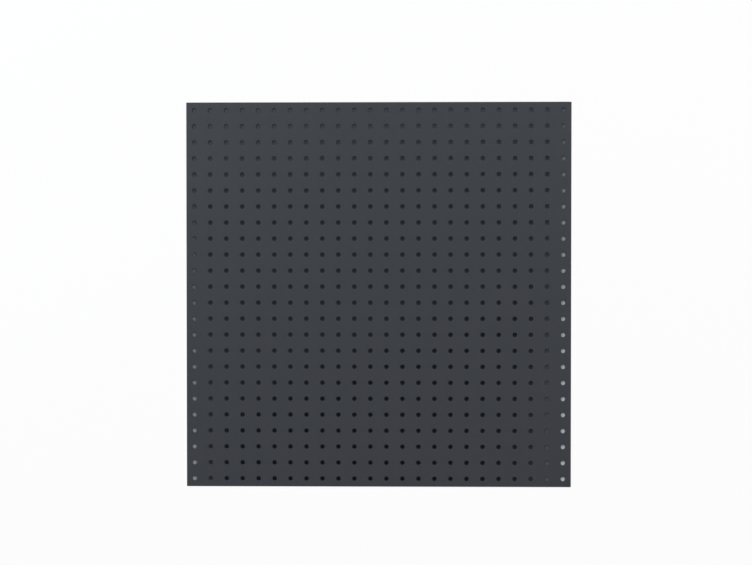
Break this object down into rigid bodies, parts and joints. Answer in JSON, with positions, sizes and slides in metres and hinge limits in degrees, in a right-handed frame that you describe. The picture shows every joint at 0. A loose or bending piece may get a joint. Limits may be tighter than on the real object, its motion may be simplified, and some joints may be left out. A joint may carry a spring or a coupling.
{
  "type": "perforated metal sheet",
  "caption": "Flat square sheet of dark painted metal, punched all over with round holes on a square grid, for screws, pegs and hooks.",
  "frame": {"origin": "middle of the sheet, on its underside (the back face), which lies on the floor at Z = 0", "axes": "+Z through the thickness, out of the front face; +X along the rows of holes; +Y along the columns, towards the sheet's top edge"},
  "size_m": [0.6096, 0.6096, 0.0015],
  "materials": {
    "painted_sheet": "matt anthracite powder coat, very fine texture"
  },
  "bodies": {
    "root": {"perforated_sheet": "painted_sheet"}
  },
  "joints": []
}
